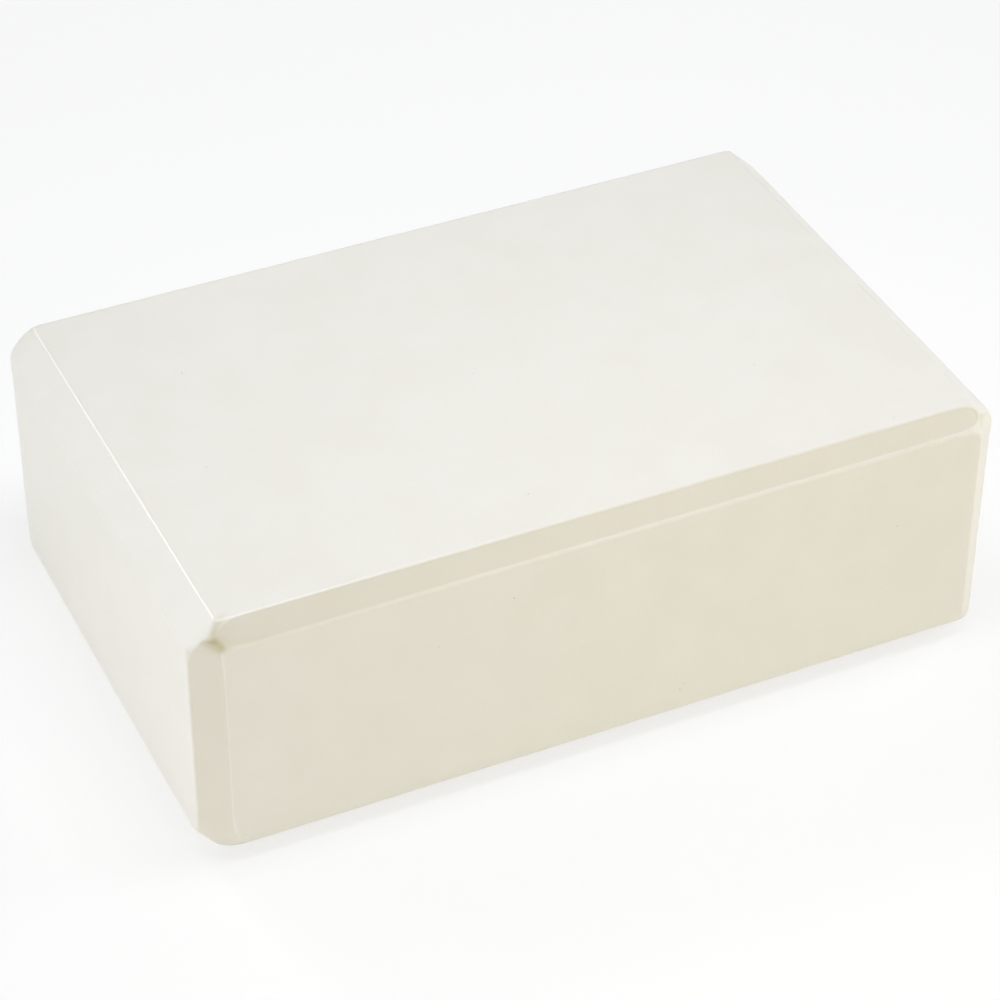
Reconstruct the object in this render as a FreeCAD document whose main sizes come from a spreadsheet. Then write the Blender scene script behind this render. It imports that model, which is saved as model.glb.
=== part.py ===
"""A yoga block of closed-cell EVA foam.

The block is made of two slabs of foam, bonded face to face by a thin film, and cut to
size afterwards. All twelve edges are chamfered by straight passes along the block, and
every outer arris is eased with a small radius.

Frame: the origin is the middle of the base. +X runs along the length, +Y runs across
the width towards the back, and +Z points up. Lengths are in millimetres.
"""

import FreeCAD, Part
import os
import Sketcher

SIZES = {
    # the whole block
    "block_length": 228.0,
    "block_width": 147.0,
    "block_height": 76.0,
    # the bond between the two slabs
    "bond_middle_height": 38.8,
    "bond_thickness": 0.2,
    # the chamfer on each long top edge: its leg on the top face, and its leg down the side
    "top_long_inset": 5.5,
    "top_long_drop": 5.5,
    # the chamfer on each short top edge: its leg on the top face, and its leg down the end
    "top_short_inset": 7.6,
    "top_short_drop": 6.8,
    # the same for the base edges, where the second leg goes up
    "base_long_inset": 6.0,
    "base_long_rise": 6.0,
    "base_short_inset": 6.0,
    "base_short_rise": 6.0,
    # the chamfer down each upright edge: its leg along the side, and its leg along the end
    "upright_side_leg": 7.6,
    "upright_end_leg": 6.4,
    # the radius on every outer arris
    "arris_radius": 0.8,
}

# lengths that follow the sheet, as expressions on it
BASE = "0"
HALF_LENGTH = "Sizes.block_length / 2"
HALF_WIDTH = "Sizes.block_width / 2"
LOWER_THICKNESS = "Sizes.bond_middle_height - Sizes.bond_thickness / 2"
UPPER_START = "Sizes.bond_middle_height + Sizes.bond_thickness / 2"
UPPER_THICKNESS = f"Sizes.block_height - ({UPPER_START})"

# how a sketch numbers its own origin and axes
SKETCH_ORIGIN = (-1, 1)
SKETCH_AXES = {"horizontal": -1, "vertical": -2}

# two lengths closer than this are the same, in millimetres
SAME = 1e-6


def add_sheet(document):
    """The driving dimensions, one row each: a name, and its value under the same alias."""
    sheet = document.addObject("Spreadsheet::Sheet", "Sizes")
    for row, (name, value) in enumerate(SIZES.items(), start=1):
        sheet.set(f"A{row}", name)
        sheet.set(f"B{row}", str(value))
        sheet.setAlias(f"B{row}", name)
    document.recompute()


def add_sketch(body, plane, name):
    """An empty sketch on one of the body's own origin planes."""
    sketch = body.newObject("Sketcher::SketchObject", f"{body.Name}_{name}")
    support = next(f for f in body.Origin.OriginFeatures if f.Role == plane)
    sketch.AttachmentSupport = [(support, "")]
    sketch.MapMode = "FlatFace"
    return sketch


def value_now(sketch, expression):
    """What an expression on the sheet comes to at the present sizes."""
    return float(sketch.evalExpression(expression))


def add_loop(sketch, points):
    """A closed loop of straight lines. Point number i is the start of line number i."""
    lines = []
    for start, end in zip(points, points[1:] + points[:1]):
        edge = Part.LineSegment(FreeCAD.Vector(*start, 0), FreeCAD.Vector(*end, 0))
        lines.append(sketch.addGeometry(edge, False))
    for line, following in zip(lines, lines[1:] + lines[:1]):
        sketch.addConstraint(Sketcher.Constraint("Coincident", line, 2, following, 1))
    return lines


def hold(sketch, direction, line, name, expression):
    """Holds the start of a line at a distance from the sketch's origin that follows the sheet."""
    distance = value_now(sketch, expression)
    row = sketch.addConstraint(Sketcher.Constraint(direction, *SKETCH_ORIGIN, line, 1, distance))
    sketch.renameConstraint(row, name)
    sketch.setExpression(f"Constraints.{name}", expression)


def mirror(sketch, line, other_line, axis):
    """Makes the starts of two lines mirror images of each other in one of the sketch's axes."""
    number = SKETCH_AXES[axis]
    sketch.addConstraint(Sketcher.Constraint("Symmetric", line, 1, other_line, 1, number))


def add_outline(body):
    """The block's eight-sided outline from above: a rectangle with its four corners cut off."""
    sketch = add_sketch(body, "XY_Plane", "outline")
    side_end = f"{HALF_LENGTH} - Sizes.upright_side_leg"
    end_end = f"{HALF_WIDTH} - Sizes.upright_end_leg"
    on_end = (value_now(sketch, HALF_LENGTH), value_now(sketch, end_end))
    on_side = (value_now(sketch, side_end), value_now(sketch, HALF_WIDTH))
    back = [on_end, on_side, (-on_side[0], on_side[1]), (-on_end[0], on_end[1])]
    front = [(x, -y) for x, y in reversed(back)]
    lines = add_loop(sketch, back + front)
    mirror(sketch, lines[0], lines[3], "vertical")
    mirror(sketch, lines[1], lines[2], "vertical")
    for behind, before in zip(lines[:4], reversed(lines[4:])):
        mirror(sketch, behind, before, "horizontal")
    hold(sketch, "DistanceX", lines[0], "half_length", HALF_LENGTH)
    hold(sketch, "DistanceY", lines[0], "end_end", end_end)
    hold(sketch, "DistanceX", lines[1], "side_end", side_end)
    hold(sketch, "DistanceY", lines[1], "half_width", HALF_WIDTH)
    return sketch


def add_pad(body, thickness):
    """Raises the outline to the piece's thickness."""
    outline = add_outline(body)
    pad = body.newObject("PartDesign::Pad", f"{body.Name}_pad")
    pad.Profile = outline
    pad.setExpression("Length", thickness)
    return pad


def add_chamfers(body, plane, name, half_span, inset, face_height, leg_height):
    """Cuts the same chamfer along two opposite edges of a slab, right through the block.

    The section is drawn on a plane across the edges. half_span is the distance from the
    middle to the edge, inset the leg on the slab's outer face, face_height the height of
    that face, and leg_height the height where the chamfer meets the side or the end.
    """
    sketch = add_sketch(body, plane, f"{name}_section")
    inner_span = f"{half_span} - {inset}"
    edge_x = value_now(sketch, half_span)
    face_z = value_now(sketch, face_height)
    section = [
        (edge_x, value_now(sketch, leg_height)),
        (edge_x, face_z),
        (value_now(sketch, inner_span), face_z),
    ]
    right = add_loop(sketch, section)
    left = add_loop(sketch, [(-x, z) for x, z in section])
    for line, mirrored in zip(right, left):
        mirror(sketch, line, mirrored, "vertical")
    sketch.addConstraint(Sketcher.Constraint("Vertical", right[0]))
    sketch.addConstraint(Sketcher.Constraint("Horizontal", right[1]))
    hold(sketch, "DistanceX", right[0], "half_span", half_span)
    hold(sketch, "DistanceY", right[0], "leg_height", leg_height)
    hold(sketch, "DistanceX", right[2], "inner_span", inner_span)
    if face_z < SAME:
        level = SKETCH_AXES["horizontal"]
        sketch.addConstraint(Sketcher.Constraint("PointOnObject", right[2], 1, level))
    else:
        hold(sketch, "DistanceY", right[2], "face_height", face_height)
    cut = body.newObject("PartDesign::Pocket", f"{body.Name}_{name}")
    cut.Profile = sketch
    cut.Type = "ThroughAll"
    cut.SideType = "Symmetric"
    return cut


def ease_arrises(body, base, bond_height):
    """Rounds every arris of a slab but those around its bonded face."""
    body.Document.recompute()
    arrises = []
    for number, edge in enumerate(base.Shape.Edges, start=1):
        heights = [vertex.Z for vertex in edge.Vertexes]
        if any(abs(height - bond_height) > SAME for height in heights):
            arrises.append(f"Edge{number}")
    fillet = body.newObject("PartDesign::Fillet", f"{body.Name}_eased")
    fillet.Base = (base, arrises)
    fillet.setExpression("Radius", "Sizes.arris_radius")
    return fillet


def add_body(document, name, start_height):
    """An empty piece whose own base plane lies at a height that follows the sheet."""
    body = document.addObject("PartDesign::Body", name)
    body.Label = name
    body.setExpression("Placement.Base.z", start_height)
    return body


def add_lower_slab(document):
    """The lower foam slab, chamfered along its base edges."""
    body = add_body(document, "lower_slab", BASE)
    add_pad(body, LOWER_THICKNESS)
    add_chamfers(
        body, "YZ_Plane", "long_chamfers", HALF_WIDTH,
        "Sizes.base_long_inset", BASE, "Sizes.base_long_rise",
    )
    last = add_chamfers(
        body, "XZ_Plane", "short_chamfers", HALF_LENGTH,
        "Sizes.base_short_inset", BASE, "Sizes.base_short_rise",
    )
    ease_arrises(body, last, value_now(last, LOWER_THICKNESS))
    return body


def add_upper_slab(document):
    """The upper foam slab, chamfered along its top edges."""
    body = add_body(document, "upper_slab", UPPER_START)
    add_pad(body, UPPER_THICKNESS)
    add_chamfers(
        body, "YZ_Plane", "long_chamfers", HALF_WIDTH,
        "Sizes.top_long_inset", UPPER_THICKNESS, f"{UPPER_THICKNESS} - Sizes.top_long_drop",
    )
    last = add_chamfers(
        body, "XZ_Plane", "short_chamfers", HALF_LENGTH,
        "Sizes.top_short_inset", UPPER_THICKNESS, f"{UPPER_THICKNESS} - Sizes.top_short_drop",
    )
    ease_arrises(body, last, 0.0)
    return body


def add_bond_film(document):
    """The film of adhesive between the slabs, cut off flush with them all round."""
    body = add_body(document, "bond_film", LOWER_THICKNESS)
    add_pad(body, "Sizes.bond_thickness")
    return body


def check(document, bodies):
    """Stops the run if any object failed, or if a cut or a radius took nothing away."""
    for item in document.Objects:
        if "Invalid" in item.State or "Error" in item.State:
            raise RuntimeError(f"{item.Name} failed: {item.State}")
    for body in bodies:
        if body.Shape.isNull() or not body.Shape.isValid() or len(body.Shape.Solids) != 1:
            raise RuntimeError(f"{body.Label} isn't one sound solid")
        features = [f for f in body.Group if f.isDerivedFrom("PartDesign::Feature")]
        volumes = [feature.Shape.Volume for feature in features]
        for feature, before, after in zip(features[1:], volumes, volumes[1:]):
            if after > before - SAME:
                raise RuntimeError(f"{feature.Name} took nothing away")


def main():
    document = FreeCAD.newDocument("yoga_block")
    add_sheet(document)
    bodies = [add_lower_slab(document), add_bond_film(document), add_upper_slab(document)]
    document.recompute()
    check(document, bodies)
    os.makedirs("parts", exist_ok=True)
    for body in bodies:
        body.Shape.exportStep(f"parts/{body.Label}.step")
        box = body.Shape.BoundBox
        print(f"{body.Label}: {body.Shape.Volume:.0f} mm3, z {box.ZMin:.2f} to {box.ZMax:.2f}")


main()
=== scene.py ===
"""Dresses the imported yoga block: a block of closed-cell EVA foam, made of two bonded slabs.

The block is worked out in millimetres, with the origin in the middle of the base, +X along
the length, +Y towards the back and +Z up. Its mesh is turned to metres at the end.
"""

import math

import bmesh
import bpy
import numpy as np
from mathutils import Euler, Matrix, Vector


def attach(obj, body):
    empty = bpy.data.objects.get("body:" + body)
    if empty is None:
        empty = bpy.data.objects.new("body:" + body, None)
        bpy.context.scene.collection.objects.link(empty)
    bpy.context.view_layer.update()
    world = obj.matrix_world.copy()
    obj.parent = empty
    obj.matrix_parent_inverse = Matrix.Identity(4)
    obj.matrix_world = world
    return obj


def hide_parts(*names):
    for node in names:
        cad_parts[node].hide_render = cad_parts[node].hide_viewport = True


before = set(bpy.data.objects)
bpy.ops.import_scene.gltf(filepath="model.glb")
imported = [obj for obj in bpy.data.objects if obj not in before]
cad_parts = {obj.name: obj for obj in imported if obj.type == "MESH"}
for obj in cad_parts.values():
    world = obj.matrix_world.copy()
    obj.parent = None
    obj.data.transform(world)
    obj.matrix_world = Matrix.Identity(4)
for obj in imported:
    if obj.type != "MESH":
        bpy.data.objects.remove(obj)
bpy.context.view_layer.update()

METRES_PER_MM = 0.001

# The block, in millimetres. The chamfers have the same two legs as in the CAD model.
BLOCK_LENGTH = 228.0
BLOCK_WIDTH = 147.0
BLOCK_HEIGHT = 76.0
BOND_BOTTOM = 38.7
BOND_TOP = 38.9
TOP_LONG_INSET = 5.5
TOP_LONG_DROP = 5.5
TOP_SHORT_INSET = 7.6
TOP_SHORT_DROP = 6.8
BASE_INSET = 6.0
BASE_RISE = 6.0
UPRIGHT_SIDE_LEG = 7.6
UPRIGHT_END_LEG = 6.4

# How far the right end leans in at the base, and how much less its base chamfer is cut
RIGHT_END_LEAN = 0.8
RIGHT_BASE_EASE = 1.2

# How softly a chamfer runs into the faces beside it, how softly that changes from one chamfer
# to the next, and how much softer the arrises are round the right end and down the back
# corners, in millimetres
ARRIS_SOFTNESS = {"long": 0.45, "short": 0.42, "upright": 0.3}
CHAMFER_BLEND = 0.8
RIGHT_END_SOFTER = 1.2
BACK_CORNERS_SOFTER = 2.6

# How softly the chamfers run into each other. The mitre between the two top chamfers is crisp
# at the top face and grows rounder on its way down, as it would over a rounded upright edge
TOP_MITRE_CRISP = 0.4
TOP_MITRE_ROUND = 2.2
UPRIGHT_MITRE_LEFT = 0.9
UPRIGHT_MITRE_RIGHT = 2.4
BASE_MITRE_LEFT = 1.7
BASE_MITRE_RIGHT = 0.4

# The pinched crease at the mitre of a long top chamfer and an upright one, in millimetres
CREASE_WIDTH = 1.5
CREASE_FADE = 2.2
CREASE_DEPTHS = {"front_left": 1.15, "front_right": 0.25, "back_left": 0.6, "back_right": 0.5}
DEEPEST_CREASE = max(CREASE_DEPTHS.values())

# The fold that runs from the crease up to the top face, beside the mitre of the two top chamfers
FOLD_PLACE = 0.6
FOLD_WIDTH = 0.8
FOLD_DEPTH = 0.15
FOLD_FADE = 5.0

# The shallow groove that runs on from the crease along the arris below a long top chamfer
GROOVE_WIDTH = 0.45
GROOVE_DEPTH = 0.14
GROOVE_FADE = 30.0

# Each chamfer is pressed in a little, like a shallow dish: its margin beside each neighbour at
# the block's left end and at its right end, the width of the dish's slope, how round its
# corners are, and its depth at the left and at the right, in millimetres
DISH_MARGINS = {
    "long": {"top": (0.2, 0.4), "side": (0.2, 0.8), "short": (1.0, 0.6), "upright": (1.0, 1.6)},
    "upright": {"side": (0.2, 0.2), "end": (0.2, 0.2), "long": (0.2, 0.2), "short": (0.2, 0.2)},
}
DISH_SLOPE = {"long": 0.6, "upright": 0.6}
DISH_ROUNDNESS = {"long": 1.4, "upright": 1.6}
DISH_DEPTH = {"long": (0.08, 0.25), "upright": (0.2, 0.2)}

# The mesh: each vertex is drawn in towards a core that lies this far inside the block. Its
# rows are close together at the edges, and wider apart from there to the end of the band
CORE_INSET = 10.0
BAND = 16.0
BAND_ROWS = 60
EDGE_SHARE = 0.6
MIDDLE_ROWS = 10

# The foam's finish, in millimetres: its grain, its faint patches, and its pinholes with their
# average spacing, the share of those places that has one, and the size of the bare stretches
GRAIN_SIZE = 0.5
GRAIN_DEPTH = 0.05
PATCH_SIZE = 14.0
PINHOLE_SPACING = 7.0
PINHOLE_SHARE = 0.35
PINHOLE_RADIUS = 0.3
PINHOLE_DEPTH = 0.2
PINHOLE_REGION = 40.0


# The colour of the painted shade on the chamfer dishes and how strongly it is laid on, how strongly
# painted shade darkens the crease, and how much of the crease's painted shade the fold shows. Where
# two values are given, they are for the left and right ends. Then how polished the arrises are, how
# wide and how rough the polish is, and the size in millimetres of the ripples in the film between
# the slabs
CHAMFER_SHADE_COLOUR = "#DFD6C4"
CHAMFER_SHADE_STRENGTH = 0.55
CHAMFER_SHADE_ENDS = {"long": (1.0, 0.75), "upright": (1.0, 0.0)}
CREASE_SHADE_STRENGTH = 0.85
FOLD_SHADE_SHARE = 0.55
ARRIS_GLOSS = (1.0, 0.0)
ARRIS_GLOSS_WIDTH = 0.6
ARRIS_ROUGHNESS = 0.26
RIPPLE_SIZE = 1.5

# How much of the floor that the camera sees is plain white, whatever falls on it
FLOOR_GLOW = 0.7

# The camera, fitted to the block's corners in the photograph: its place in millimetres, its
# angles in degrees and its focal length in pixels of a picture 1000 pixels wide
CAMERA_PLACE = (-311.52, -667.99, 606.12)
CAMERA_AZIMUTH = -25.099
CAMERA_ELEVATION = 38.014
CAMERA_ROLL = 0.177
FOCAL_PIXELS = 3412.79
PICTURE_PIXELS = 1000.0
SENSOR_MM = 36.0


def planes_of_a_quarter():
    """The planes that bound the quarter of the block where x and y are positive.

    Each is a unit normal and a distance from the origin along it.
    """
    end = BLOCK_LENGTH / 2
    side = BLOCK_WIDTH / 2
    top = BLOCK_HEIGHT
    faces = {
        "end": plane_through((end, 0, 0), (1, 0, 0)),
        "side": plane_through((0, side, 0), (0, 1, 0)),
        "top": plane_through((0, 0, top), (0, 0, 1)),
        "base": plane_through((0, 0, 0), (0, 0, -1)),
    }
    top_chamfers = {
        "long": plane_through((0, side, top - TOP_LONG_DROP), (0, TOP_LONG_DROP, TOP_LONG_INSET)),
        "short": plane_through((end, 0, top - TOP_SHORT_DROP), (TOP_SHORT_DROP, 0, TOP_SHORT_INSET)),
    }
    base_chamfers = {
        "long": plane_through((0, side, BASE_RISE), (0, BASE_RISE, -BASE_INSET)),
        "short": plane_through((end, 0, BASE_RISE), (BASE_RISE, 0, -BASE_INSET)),
    }
    upright = plane_through(
        (end - UPRIGHT_SIDE_LEG, side, 0), (UPRIGHT_END_LEG, UPRIGHT_SIDE_LEG, 0)
    )
    return faces, top_chamfers, base_chamfers, upright


def plane_through(point, normal):
    unit = Vector(normal).normalized()
    return np.array(unit), unit.dot(Vector(point))


def outside(points, plane):
    """How far each point stands outside a plane."""
    normal, distance = plane
    return points @ normal - distance


def soft_max(values, softness):
    """The larger of several fields, with the step between them smoothed over."""
    values = np.stack(values)
    highest = values.max(axis=0)
    return highest + softness * np.log(np.exp((values - highest) / softness).sum(axis=0))


def rounded_max(first, second, softness):
    """The larger of two fields, with a round arris where they are nearly the same."""
    near = np.maximum(softness - np.abs(first - second), 0.0)
    return np.maximum(first, second) + near ** 2 / (4 * softness)


def along(points, at_left, at_right):
    """A value that changes evenly from the block's left end to its right end."""
    return at_left + (at_right - at_left) * (points[:, 0] / BLOCK_LENGTH + 0.5)


def crease(points, d):
    """How deep the crease is at each point, from the block's skin as it would be without it."""
    left = points[:, 0] < 0
    front = points[:, 1] < 0
    right_depth = np.where(front, CREASE_DEPTHS["front_right"], CREASE_DEPTHS["back_right"])
    left_depth = np.where(front, CREASE_DEPTHS["front_left"], CREASE_DEPTHS["back_left"])
    across = np.exp(-((d["upright"] - d["long"]) / CREASE_WIDTH) ** 2)
    inside_face = np.clip(-d["side"] / CREASE_FADE, 0.0, 1.0)
    below_short = 1 / (1 + np.exp(4 * (d["short"] - d["upright"])))
    depth = np.where(left, left_depth, right_depth)
    from_upright = np.maximum(d["long"] - d["upright"], 0.0)
    groove = np.exp(-((d["long"] - d["side"]) / GROOVE_WIDTH) ** 2 - from_upright / GROOVE_FADE)
    groove *= GROOVE_DEPTH * depth / DEEPEST_CREASE * np.clip(2.0 + d["long"], 0.0, 1.0)
    return depth * across * inside_face * below_short + groove + FOLD_DEPTH * fold(points, d)


def fold(points, d):
    """How deep in the fold beside a top mitre each point lies, 0 to 1."""
    from_mitre = d["long"] - d["short"]
    from_upright = np.maximum(d["long"] - d["upright"], 0.0)
    near_left_end = np.where((points[:, 0] < 0) & (points[:, 1] < 0), 1.0, 0.3)
    share = np.exp(-((from_mitre - FOLD_PLACE) / FOLD_WIDTH) ** 2 - from_upright / FOLD_FADE)
    return share * near_left_end * np.clip(2.0 + d["long"], 0.0, 1.0)


def distances(points):
    """How far each point stands outside each plane of its own quarter of the block."""
    faces, top_chamfers, base_chamfers, upright = planes_of_a_quarter()
    quarter = points.copy()
    quarter[:, :2] = np.abs(quarter[:, :2])
    planes = {**faces, **top_chamfers, "upright": upright}
    planes["base_long"] = base_chamfers["long"]
    planes["base_short"] = base_chamfers["short"]
    d = {name: outside(quarter, plane) for name, plane in planes.items()}
    right = points[:, 0] > 0
    d["end"] += np.where(right, RIGHT_END_LEAN * (1 - points[:, 2] / BLOCK_HEIGHT), 0.0)
    d["base_short"] -= np.where(right, RIGHT_BASE_EASE, 0.0)
    return d


def foam_surface(points):
    """The foam's surface: negative inside the block, nought on its skin, positive outside."""
    d = distances(points)
    face, corner, softness = faces_and_corners(points, d)
    surface = rounded_max(face, corner, softness) + crease(points, d)
    for chamfer in DISH_MARGINS:
        surface += along(points, *DISH_DEPTH[chamfer]) * dish(chamfer, points, d)
    return surface


def faces_and_corners(points, d):
    """The field of the faces, that of the chamfers, and the softness of the arris between."""
    face = np.max([d["end"], d["side"], d["top"], d["base"]], axis=0)
    down = np.clip((BLOCK_HEIGHT - points[:, 2]) / TOP_LONG_DROP, 0.0, 1.0)
    mitre = TOP_MITRE_CRISP + (TOP_MITRE_ROUND - TOP_MITRE_CRISP) * down
    upright_mitre = along(points, UPRIGHT_MITRE_LEFT, UPRIGHT_MITRE_RIGHT)
    top_corner = rounded_max(soft_max([d["long"], d["short"]], mitre), d["upright"], upright_mitre)
    base_mitre = along(points, BASE_MITRE_LEFT, BASE_MITRE_RIGHT)
    base_corner = soft_max([d["upright"], d["base_long"], d["base_short"]], base_mitre)
    high = points[:, 2] > BLOCK_HEIGHT / 2
    corner = np.where(high, top_corner, base_corner)
    nearest = {
        "long": np.where(high, d["long"], d["base_long"]),
        "short": np.where(high, d["short"], d["base_short"]),
        "upright": d["upright"],
    }
    softness, upright_share = arris_softness(nearest)
    right_end = np.where(points[:, 0] > 0, np.clip(1.0 + d["end"] - face, 0.0, 1.0), 0.0)
    back_corner = np.where(points[:, 1] > 0, upright_share, 0.0)
    softness += RIGHT_END_SOFTER * right_end + BACK_CORNERS_SOFTER * back_corner
    return face, corner, softness


def dish(chamfer, points, d):
    """How far down the slope of a chamfer's dish a point lies: 0 on its rim, 1 inside it."""
    faces, top_chamfers, _, upright = planes_of_a_quarter()
    planes = {**faces, **top_chamfers, "upright": upright}
    beyond = []
    for neighbour, margin in DISH_MARGINS[chamfer].items():
        cosine = planes[chamfer][0] @ planes[neighbour][0]
        from_border = d[neighbour] / math.sqrt(1 - cosine ** 2)
        beyond.append(from_border + along(points, *margin))
    inward = -soft_max(beyond, DISH_ROUNDNESS[chamfer])
    part = np.clip(inward / DISH_SLOPE[chamfer], 0.0, 1.0)
    near_chamfer = np.clip(2.0 + d[chamfer], 0.0, 1.0)
    return part * part * (3 - 2 * part) * near_chamfer


def arris_softness(nearest):
    """The softness of the nearest chamfer's arrises, blended from one chamfer to the next.

    Also how far the nearest chamfer is an upright one, from 0 to 1.
    """
    highest = np.max(list(nearest.values()), axis=0)
    shares = {name: np.exp((d - highest) / CHAMFER_BLEND) for name, d in nearest.items()}
    whole = sum(shares.values())
    softness = sum(share * ARRIS_SOFTNESS[name] for name, share in shares.items())
    return softness / whole, shares["upright"] / whole


def rows(low, high):
    """Where the mesh's rows lie from one face of the block to the other."""
    part = np.linspace(0.0, 1.0, BAND_ROWS + 1)
    edge = BAND * (EDGE_SHARE * part + (1 - EDGE_SHARE) * part ** 3)
    middle = np.linspace(low + BAND, high - BAND, MIDDLE_ROWS + 1)[1:-1]
    return np.concatenate([low + edge, middle, high - edge[::-1]])


def fine_box():
    """A box the size of the block, of rows that are close together near its edges."""
    lines = 2 * BAND_ROWS + MIDDLE_ROWS
    bm = bmesh.new()
    bmesh.ops.create_cube(bm, size=lines)
    bmesh.ops.subdivide_edges(bm, edges=bm.edges[:], cuts=lines - 1, use_grid_fill=True)
    across_x = rows(-BLOCK_LENGTH / 2, BLOCK_LENGTH / 2)
    across_y = rows(-BLOCK_WIDTH / 2, BLOCK_WIDTH / 2)
    across_z = rows(0.0, BLOCK_HEIGHT)
    for vert in bm.verts:
        steps = [round(value + lines / 2) for value in vert.co]
        vert.co = (across_x[steps[0]], across_y[steps[1]], across_z[steps[2]])
    return bm


def draw_in(bm):
    """Draws each vertex of the box in to the foam's surface, towards a core inside the block."""
    points = np.array([vert.co for vert in bm.verts])
    low = np.array([-BLOCK_LENGTH / 2, -BLOCK_WIDTH / 2, 0.0]) + CORE_INSET
    high = np.array([BLOCK_LENGTH / 2, BLOCK_WIDTH / 2, BLOCK_HEIGHT]) - CORE_INSET
    core = np.clip(points, low, high)
    inner = np.zeros(len(points))
    outer = np.ones(len(points))
    for _ in range(30):
        middle = (inner + outer) / 2
        is_out = foam_surface(core + (points - core) * middle[:, None]) > 0
        outer = np.where(is_out, middle, outer)
        inner = np.where(is_out, inner, middle)
    drawn = core + (points - core) * ((inner + outer) / 2)[:, None]
    for vert, place in zip(bm.verts, drawn):
        vert.co = place


def cut_off(bm, height, keep_below):
    """Cuts the block at a height, keeps one part and closes the cut."""
    cut = bmesh.ops.bisect_plane(
        bm,
        geom=bm.verts[:] + bm.edges[:] + bm.faces[:],
        plane_co=(0, 0, height),
        plane_no=(0, 0, 1),
        clear_outer=keep_below,
        clear_inner=not keep_below,
    )
    rim = [item for item in cut["geom_cut"] if isinstance(item, bmesh.types.BMEdge)]
    bmesh.ops.contextual_create(bm, geom=rim)
    for edge in rim:
        edge.smooth = False


def foam_piece(name, whole, low, high):
    """The part of the block between two heights, as a piece that stands for its CAD node."""
    bm = whole.copy()
    if low is not None:
        cut_off(bm, low, keep_below=False)
    if high is not None:
        cut_off(bm, high, keep_below=True)
    bmesh.ops.scale(bm, verts=bm.verts, vec=(METRES_PER_MM,) * 3)
    bmesh.ops.recalc_face_normals(bm, faces=bm.faces)
    for face in bm.faces:
        face.smooth = True
    mesh = bpy.data.meshes.new(name)
    bm.to_mesh(mesh)
    bm.free()
    mark_shade_and_gloss(mesh)
    piece = bpy.data.objects.new(name, mesh)
    bpy.context.scene.collection.objects.link(piece)
    return piece


def mark_shade_and_gloss(mesh):
    """Writes the painted shade of the crease and the chamfer dishes, and the arris polish, 0 to 1.
    """
    points = np.array([vert.co for vert in mesh.vertices]) / METRES_PER_MM
    d = distances(points)
    _, corner, _ = faces_and_corners(points, d)
    # The chamfer dishes' painted shade, strongest at the left end
    chamfer_shades = [along(points, *CHAMFER_SHADE_ENDS[name]) * dish(name, points, d) for name in DISH_MARGINS]
    top_arris = np.exp(-((d["top"] - corner) / ARRIS_GLOSS_WIDTH) ** 2)
    shares = {
        # The crease's painted shade, with some of it on the fold beside it
        "crease": crease(points, d) / DEEPEST_CREASE + FOLD_SHADE_SHARE * fold(points, d),
        "dish": np.max(chamfer_shades, axis=0),
        "arris": along(points, *ARRIS_GLOSS) * top_arris,
    }
    for name, values in shares.items():
        attribute = mesh.attributes.new(name, "FLOAT", "POINT")
        attribute.data.foreach_set("value", values)


def linear(hex_colour):
    """An sRGB hex colour as linear red, green, blue and a full alpha."""
    channels = [int(hex_colour[i:i + 2], 16) / 255 for i in (1, 3, 5)]
    return [c / 12.92 if c <= 0.04045 else ((c + 0.055) / 1.055) ** 2.4 for c in channels] + [1.0]


def add_node(tree, kind, settings=None, inputs=None):
    """Adds a node with its settings. An input, by name or number, takes a value or a link."""
    node = tree.nodes.new(kind)
    for name, value in (settings or {}).items():
        setattr(node, name, value)
    for key, value in (inputs or {}).items():
        if isinstance(value, bpy.types.NodeSocket):
            tree.links.new(value, node.inputs[key])
        else:
            node.inputs[key].default_value = value
    return node


# Where Blender keeps the two colours of a Mix node, and the colour that it makes of them
MIX_FIRST = 6
MIX_SECOND = 7
MIXED = 2


def new_material(name):
    material = bpy.data.materials.new(name)
    material.use_nodes = True
    material.node_tree.nodes.clear()
    return material


def per_mm(size):
    """A texture's scale, in metres, for features of a size in millimetres."""
    return 1 / (size * METRES_PER_MM)


def between(start, end, low=0.0, high=1.0):
    """The ends of a Map Range node that carries one range to another."""
    return {"From Min": start, "From Max": end, "To Min": low, "To Max": high}


def layered(tree, base, layers):
    """Colours laid over a base colour, each to the share that a socket gives."""
    colour = linear(base)
    for share, hex_colour in layers:
        inputs = {"Factor": share, MIX_FIRST: colour, MIX_SECOND: linear(hex_colour)}
        colour = add_node(tree, "ShaderNodeMix", {"data_type": "RGBA"}, inputs).outputs[MIXED]
    return colour


def pinholes(tree, place):
    """Burst cells: 1 in the middle of a pinhole, 0 elsewhere. Only some places have any."""
    cells = add_node(
        tree, "ShaderNodeTexVoronoi", {"distance": "EUCLIDEAN"},
        {"Vector": place, "Scale": per_mm(PINHOLE_SPACING), "Randomness": 1.0},
    )
    radius = PINHOLE_RADIUS / PINHOLE_SPACING
    hole = add_node(tree, "ShaderNodeMapRange", inputs={
        "Value": cells.outputs["Distance"], **between(0.5 * radius, radius, 1.0, 0.0),
    })
    chance = add_node(tree, "ShaderNodeSeparateColor", inputs={0: cells.outputs["Color"]})
    burst = add_node(tree, "ShaderNodeMapRange", inputs={
        "Value": chance.outputs[0], **between(1 - PINHOLE_SHARE, 1.02 - PINHOLE_SHARE),
    })
    regions = add_node(tree, "ShaderNodeTexNoise", inputs={
        "Vector": place, "Scale": per_mm(PINHOLE_REGION), "Detail": 2.0,
    })
    region = add_node(tree, "ShaderNodeMapRange", inputs={
        "Value": regions.outputs["Fac"], **between(0.5, 0.56),
    })
    some = add_node(
        tree, "ShaderNodeMath", {"operation": "MULTIPLY"},
        {0: hole.outputs["Result"], 1: burst.outputs["Result"]},
    )
    return add_node(
        tree, "ShaderNodeMath", {"operation": "MULTIPLY"},
        {0: some.outputs[0], 1: region.outputs["Result"]},
    ).outputs[0]


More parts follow.
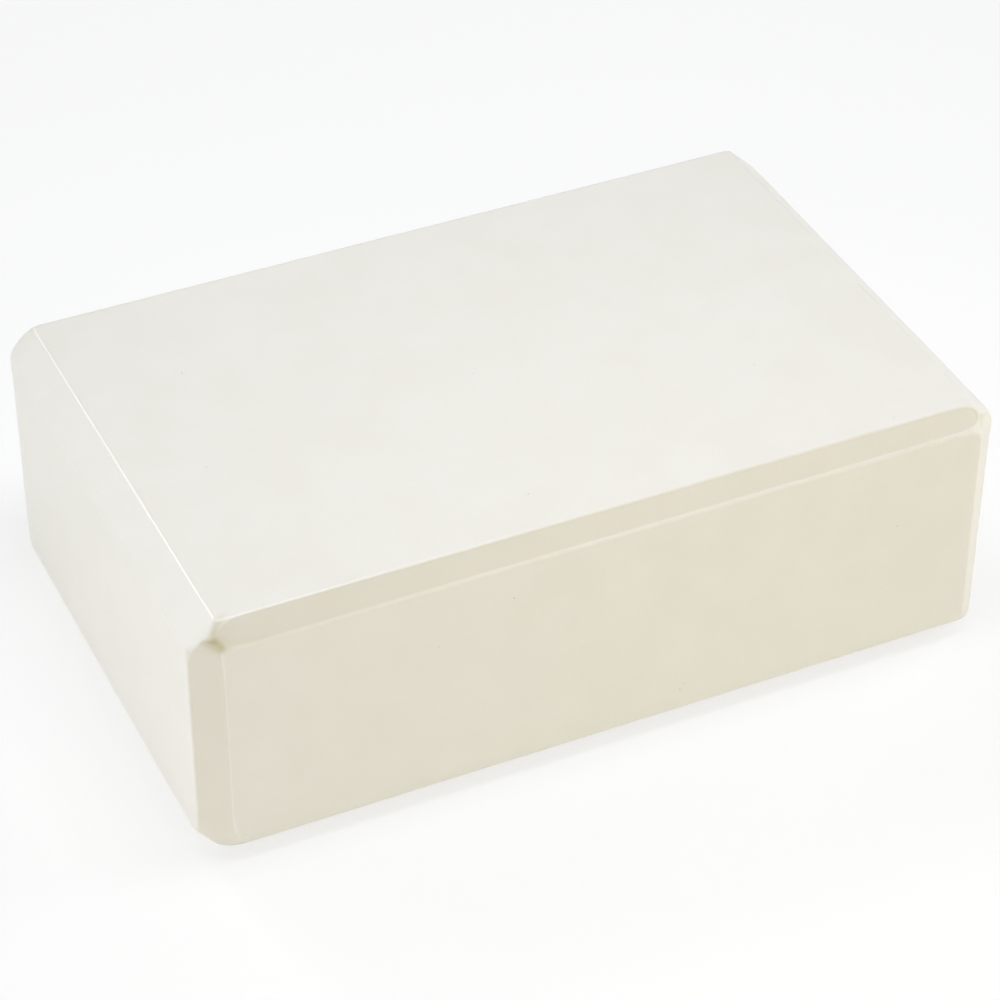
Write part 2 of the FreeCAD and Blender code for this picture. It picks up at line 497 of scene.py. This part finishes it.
def shade_and_gloss_shares(tree):
    """How much painted shade the chamfer dishes and the crease take, and the arris polish."""
    shares = []
    for name, most in (("dish", CHAMFER_SHADE_STRENGTH), ("crease", CREASE_SHADE_STRENGTH), ("arris", 1.0)):
        held = add_node(tree, "ShaderNodeAttribute", {"attribute_name": name})
        share = add_node(tree, "ShaderNodeMapRange", inputs={
            "Value": held.outputs["Fac"], **between(0.0, 1.0, 0.0, most),
        })
        shares.append(share.outputs["Result"])
    return shares


def eva_foam():
    """Closed-cell EVA foam, cut from a slab: satin cream white, with a fine grain of cut cells.

    The cells of the real foam are 0.1 to 0.2 mm wide, too fine to show in a picture of the
    whole block, so the grain is drawn about three times as coarse. The chamfer dishes carry a warm
    painted shade, the pinched crease and the pinholes a yellowish painted shade, and the arrises are
    polished by the cut.
    """
    material = new_material("eva_foam_cut")
    tree = material.node_tree
    place = add_node(tree, "ShaderNodeTexCoord").outputs["Object"]
    grain = add_node(tree, "ShaderNodeTexNoise", inputs={
        "Vector": place, "Scale": per_mm(GRAIN_SIZE), "Detail": 2.0,
    }).outputs["Fac"]
    patches = add_node(tree, "ShaderNodeTexNoise", inputs={
        "Vector": place, "Scale": per_mm(PATCH_SIZE), "Detail": 3.0,
    }).outputs["Fac"]
    holes = pinholes(tree, place)
    chamfer_shade, crease_shade, polished = shade_and_gloss_shares(tree)
    whiter = add_node(tree, "ShaderNodeMapRange", inputs={"Value": patches, **between(0.35, 0.65)})
    speckle = add_node(tree, "ShaderNodeMapRange", inputs={
        "Value": grain, **between(0.3, 0.7, 0.0, 0.35),
    })
    # painted shade inside the pinholes, which are also bumped in below
    pinhole_shade = add_node(tree, "ShaderNodeMapRange", inputs={
        "Value": holes, **between(0.0, 1.0, 0.0, 0.8),
    })
    colour = layered(tree, "#F1EEE5", [
        (whiter.outputs["Result"], "#F3F0E8"),
        (speckle.outputs["Result"], "#EBE7DC"),
        # painted shade: the chamfer dishes are laid over with a warmer, darker colour, most at the
        # left end
        (chamfer_shade, CHAMFER_SHADE_COLOUR),
        (pinhole_shade.outputs["Result"], "#C9C0A8"),
        # painted shade: the crease and the fold beside it are darkened with a yellowish colour
        (crease_shade, "#D2C79F"),
    ])
    satin = add_node(tree, "ShaderNodeMapRange", inputs={
        "Value": patches, **between(0.3, 0.7, 0.38, 0.46),
    })
    roughness = add_node(tree, "ShaderNodeMix", inputs={
        "Factor": polished, "A": satin.outputs["Result"], "B": ARRIS_ROUGHNESS,
    })
    cells = add_node(tree, "ShaderNodeBump", inputs={
        "Height": grain, "Strength": 0.35, "Distance": GRAIN_DEPTH * METRES_PER_MM,
    })
    pitted_skin = add_node(tree, "ShaderNodeBump", {"invert": True}, {
        "Height": holes, "Strength": 0.8, "Distance": PINHOLE_DEPTH * METRES_PER_MM,
        "Normal": cells.outputs["Normal"],
    })
    shader = add_node(tree, "ShaderNodeBsdfPrincipled", inputs={
        "Base Color": colour, "Roughness": roughness.outputs["Result"], "IOR": 1.48,
        "Normal": pitted_skin.outputs["Normal"],
    })
    add_node(tree, "ShaderNodeOutputMaterial", inputs={"Surface": shader.outputs["BSDF"]})
    return material


def bond_adhesive():
    """Hot-melt film, milky and a hair whiter than the foam, with a faint ripple where it set.

    It is cut with the block, so it takes the same warm painted shade as the foam on the chamfer
    dishes.
    """
    material = new_material("hot_melt_film")
    tree = material.node_tree
    place = add_node(tree, "ShaderNodeTexCoord").outputs["Object"]
    ripple = add_node(tree, "ShaderNodeTexNoise", inputs={
        "Vector": place, "Scale": per_mm(RIPPLE_SIZE), "Detail": 2.0,
    }).outputs["Fac"]
    milky = add_node(tree, "ShaderNodeMapRange", inputs={"Value": ripple, **between(0.3, 0.7)})
    chamfer_shade, crease_shade, polished = shade_and_gloss_shares(tree)
    colour = layered(tree, "#F1EEE5", [
        (milky.outputs["Result"], "#F3F0E7"),
        # painted shade on the chamfer dishes, as on the foam
        (chamfer_shade, CHAMFER_SHADE_COLOUR),
    ])
    roughness = add_node(tree, "ShaderNodeMapRange", inputs={
        "Value": ripple, **between(0.3, 0.7, 0.42, 0.5),
    })
    shader = add_node(tree, "ShaderNodeBsdfPrincipled", inputs={
        "Base Color": colour, "Roughness": roughness.outputs["Result"], "IOR": 1.48,
    })
    add_node(tree, "ShaderNodeOutputMaterial", inputs={"Surface": shader.outputs["BSDF"]})
    return material


def build_block():
    whole = fine_box()
    draw_in(whole)
    foam = eva_foam()
    pieces = [
        ("lower_foam_slab", "lower_slab", None, BOND_BOTTOM, foam, "eva_foam"),
        ("bond_line", "bond_film", BOND_BOTTOM, BOND_TOP, bond_adhesive(), "bond_adhesive"),
        ("upper_foam_slab", "upper_slab", BOND_TOP, None, foam, "eva_foam"),
    ]
    for name, node, low, high, material, slot in pieces:
        piece = foam_piece(name, whole, low, high)
        piece.data.materials.append(material)
        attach(piece, "root")
        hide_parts(node)
    whole.free()


def pale_floor():
    """A plain white floor, which the camera sees as nearly white and which keeps the shadow."""
    bm = bmesh.new()
    bmesh.ops.create_grid(bm, x_segments=1, y_segments=1, size=6.0)
    mesh = bpy.data.meshes.new("floor")
    bm.to_mesh(mesh)
    bm.free()
    floor = bpy.data.objects.new("floor", mesh)
    bpy.context.scene.collection.objects.link(floor)
    material = new_material("white_floor")
    tree = material.node_tree
    white = linear("#FCFCFB")
    lit = add_node(tree, "ShaderNodeBsdfDiffuse", inputs={"Color": white})
    glow = add_node(tree, "ShaderNodeEmission", inputs={"Color": linear("#FFFFFF"), "Strength": 1.0})
    rays = add_node(tree, "ShaderNodeLightPath")
    share = add_node(
        tree, "ShaderNodeMath", {"operation": "MULTIPLY"},
        {0: rays.outputs["Is Camera Ray"], 1: FLOOR_GLOW},
    )
    seen = add_node(tree, "ShaderNodeMixShader", inputs={
        0: share.outputs[0], 1: lit.outputs[0], 2: glow.outputs[0],
    })
    add_node(tree, "ShaderNodeOutputMaterial", inputs={"Surface": seen.outputs[0]})
    mesh.materials.append(material)


# Each lamp: its direction from the block as azimuth and elevation in degrees, its distance and
# its size in metres, its strength, and its colour. Azimuth 0 is behind the viewer of the front.
LAMPS = {
    "right": {
        "azimuth": 90, "elevation": 30, "away": 2.0,
        "size": (1.4, 1.0), "strength": 15.5, "colour": "#FBFDFF",
    },
    "right_low": {
        "azimuth": 70, "elevation": 8, "away": 2.0,
        "size": (1.4, 1.0), "strength": 7.7, "colour": "#FDFEFF",
    },
    "far_left": {
        "azimuth": -120, "elevation": 25, "away": 2.0,
        "size": (1.4, 1.0), "strength": 7.6, "colour": "#F8F9FF",
    },
    "back_left": {
        "azimuth": -150, "elevation": 40, "away": 2.0,
        "size": (1.4, 1.0), "strength": 4.1, "colour": "#F9F8FF",
    },
    "back_right_high": {
        "azimuth": 142, "elevation": 50, "away": 2.0,
        "size": (0.8, 0.6), "strength": 1.8, "colour": "#F6F2FF",
    },
    "ridge": {
        "azimuth": -160, "elevation": 43, "away": 2.0,
        "size": (0.4, 0.4), "strength": 6.0, "colour": "#FFFFFF",
    },
    "left_low": {
        "azimuth": -72, "elevation": 5, "away": 0.8,
        "size": (0.4, 0.2), "strength": 1.8, "colour": "#FDFFFE",
    },
    "near_front": {
        "azimuth": 12, "elevation": 14, "away": 0.55,
        "size": (0.25, 0.2), "strength": 0.6, "colour": "#FFF2CC",
    },
    "near_top": {
        "azimuth": 0, "elevation": 80, "away": 0.6,
        "size": (0.3, 0.2), "strength": 1.7, "colour": "#F7FBFF",
    },
}
AMBIENT = 0.05


def direction(azimuth, elevation):
    """The unit vector to a lamp: azimuth 0 is the front, 90 the right, 180 the back."""
    a, e = math.radians(azimuth), math.radians(elevation)
    return Vector((math.sin(a) * math.cos(e), -math.cos(a) * math.cos(e), math.sin(e)))


def add_lamp(name, azimuth, elevation, away, size, strength, colour):
    light = bpy.data.lights.new(name, "AREA")
    light.shape = "RECTANGLE"
    light.size, light.size_y = size
    light.energy = strength
    light.color = linear(colour)[:3]
    lamp = bpy.data.objects.new(name, light)
    bpy.context.scene.collection.objects.link(lamp)
    towards = direction(azimuth, elevation)
    lamp.location = Vector((0, 0, BLOCK_HEIGHT / 2 * METRES_PER_MM)) + towards * away
    lamp.visible_camera = False
    lamp.rotation_euler = towards.to_track_quat("Z", "Y").to_euler()


def light_the_room():
    for name, lamp in LAMPS.items():
        add_lamp(name, **lamp)
    world = bpy.data.worlds.new("soft_room")
    bpy.context.scene.world = world
    world.use_nodes = True
    tree = world.node_tree
    tree.nodes.clear()
    rays = add_node(tree, "ShaderNodeLightPath")
    white = linear("#FFFFFF")
    room = add_node(tree, "ShaderNodeBackground", inputs={"Color": white, "Strength": AMBIENT})
    seen = add_node(tree, "ShaderNodeBackground", inputs={"Color": white, "Strength": 1.0})
    chosen = add_node(tree, "ShaderNodeMixShader", inputs={
        0: rays.outputs["Is Camera Ray"], 1: room.outputs[0], 2: seen.outputs[0],
    })
    add_node(tree, "ShaderNodeOutputWorld", inputs={"Surface": chosen.outputs[0]})


def set_camera():
    data = bpy.data.cameras.new("photo_camera")
    data.sensor_width = SENSOR_MM
    data.lens = FOCAL_PIXELS / PICTURE_PIXELS * SENSOR_MM
    data.clip_start = 0.05
    data.clip_end = 50.0
    camera = bpy.data.objects.new("photo_camera", data)
    bpy.context.scene.collection.objects.link(camera)
    camera.location = Vector(CAMERA_PLACE) * METRES_PER_MM
    tilt = math.radians(90.0 - CAMERA_ELEVATION)
    turn = Euler((tilt, 0.0, math.radians(CAMERA_AZIMUTH))).to_matrix()
    roll = Matrix.Rotation(math.radians(CAMERA_ROLL), 3, "Z")
    camera.rotation_euler = (turn @ roll).to_euler()
    bpy.context.scene.camera = camera


set_camera()
build_block()
pale_floor()
light_the_room()
bpy.context.scene.view_settings.view_transform = "Standard"
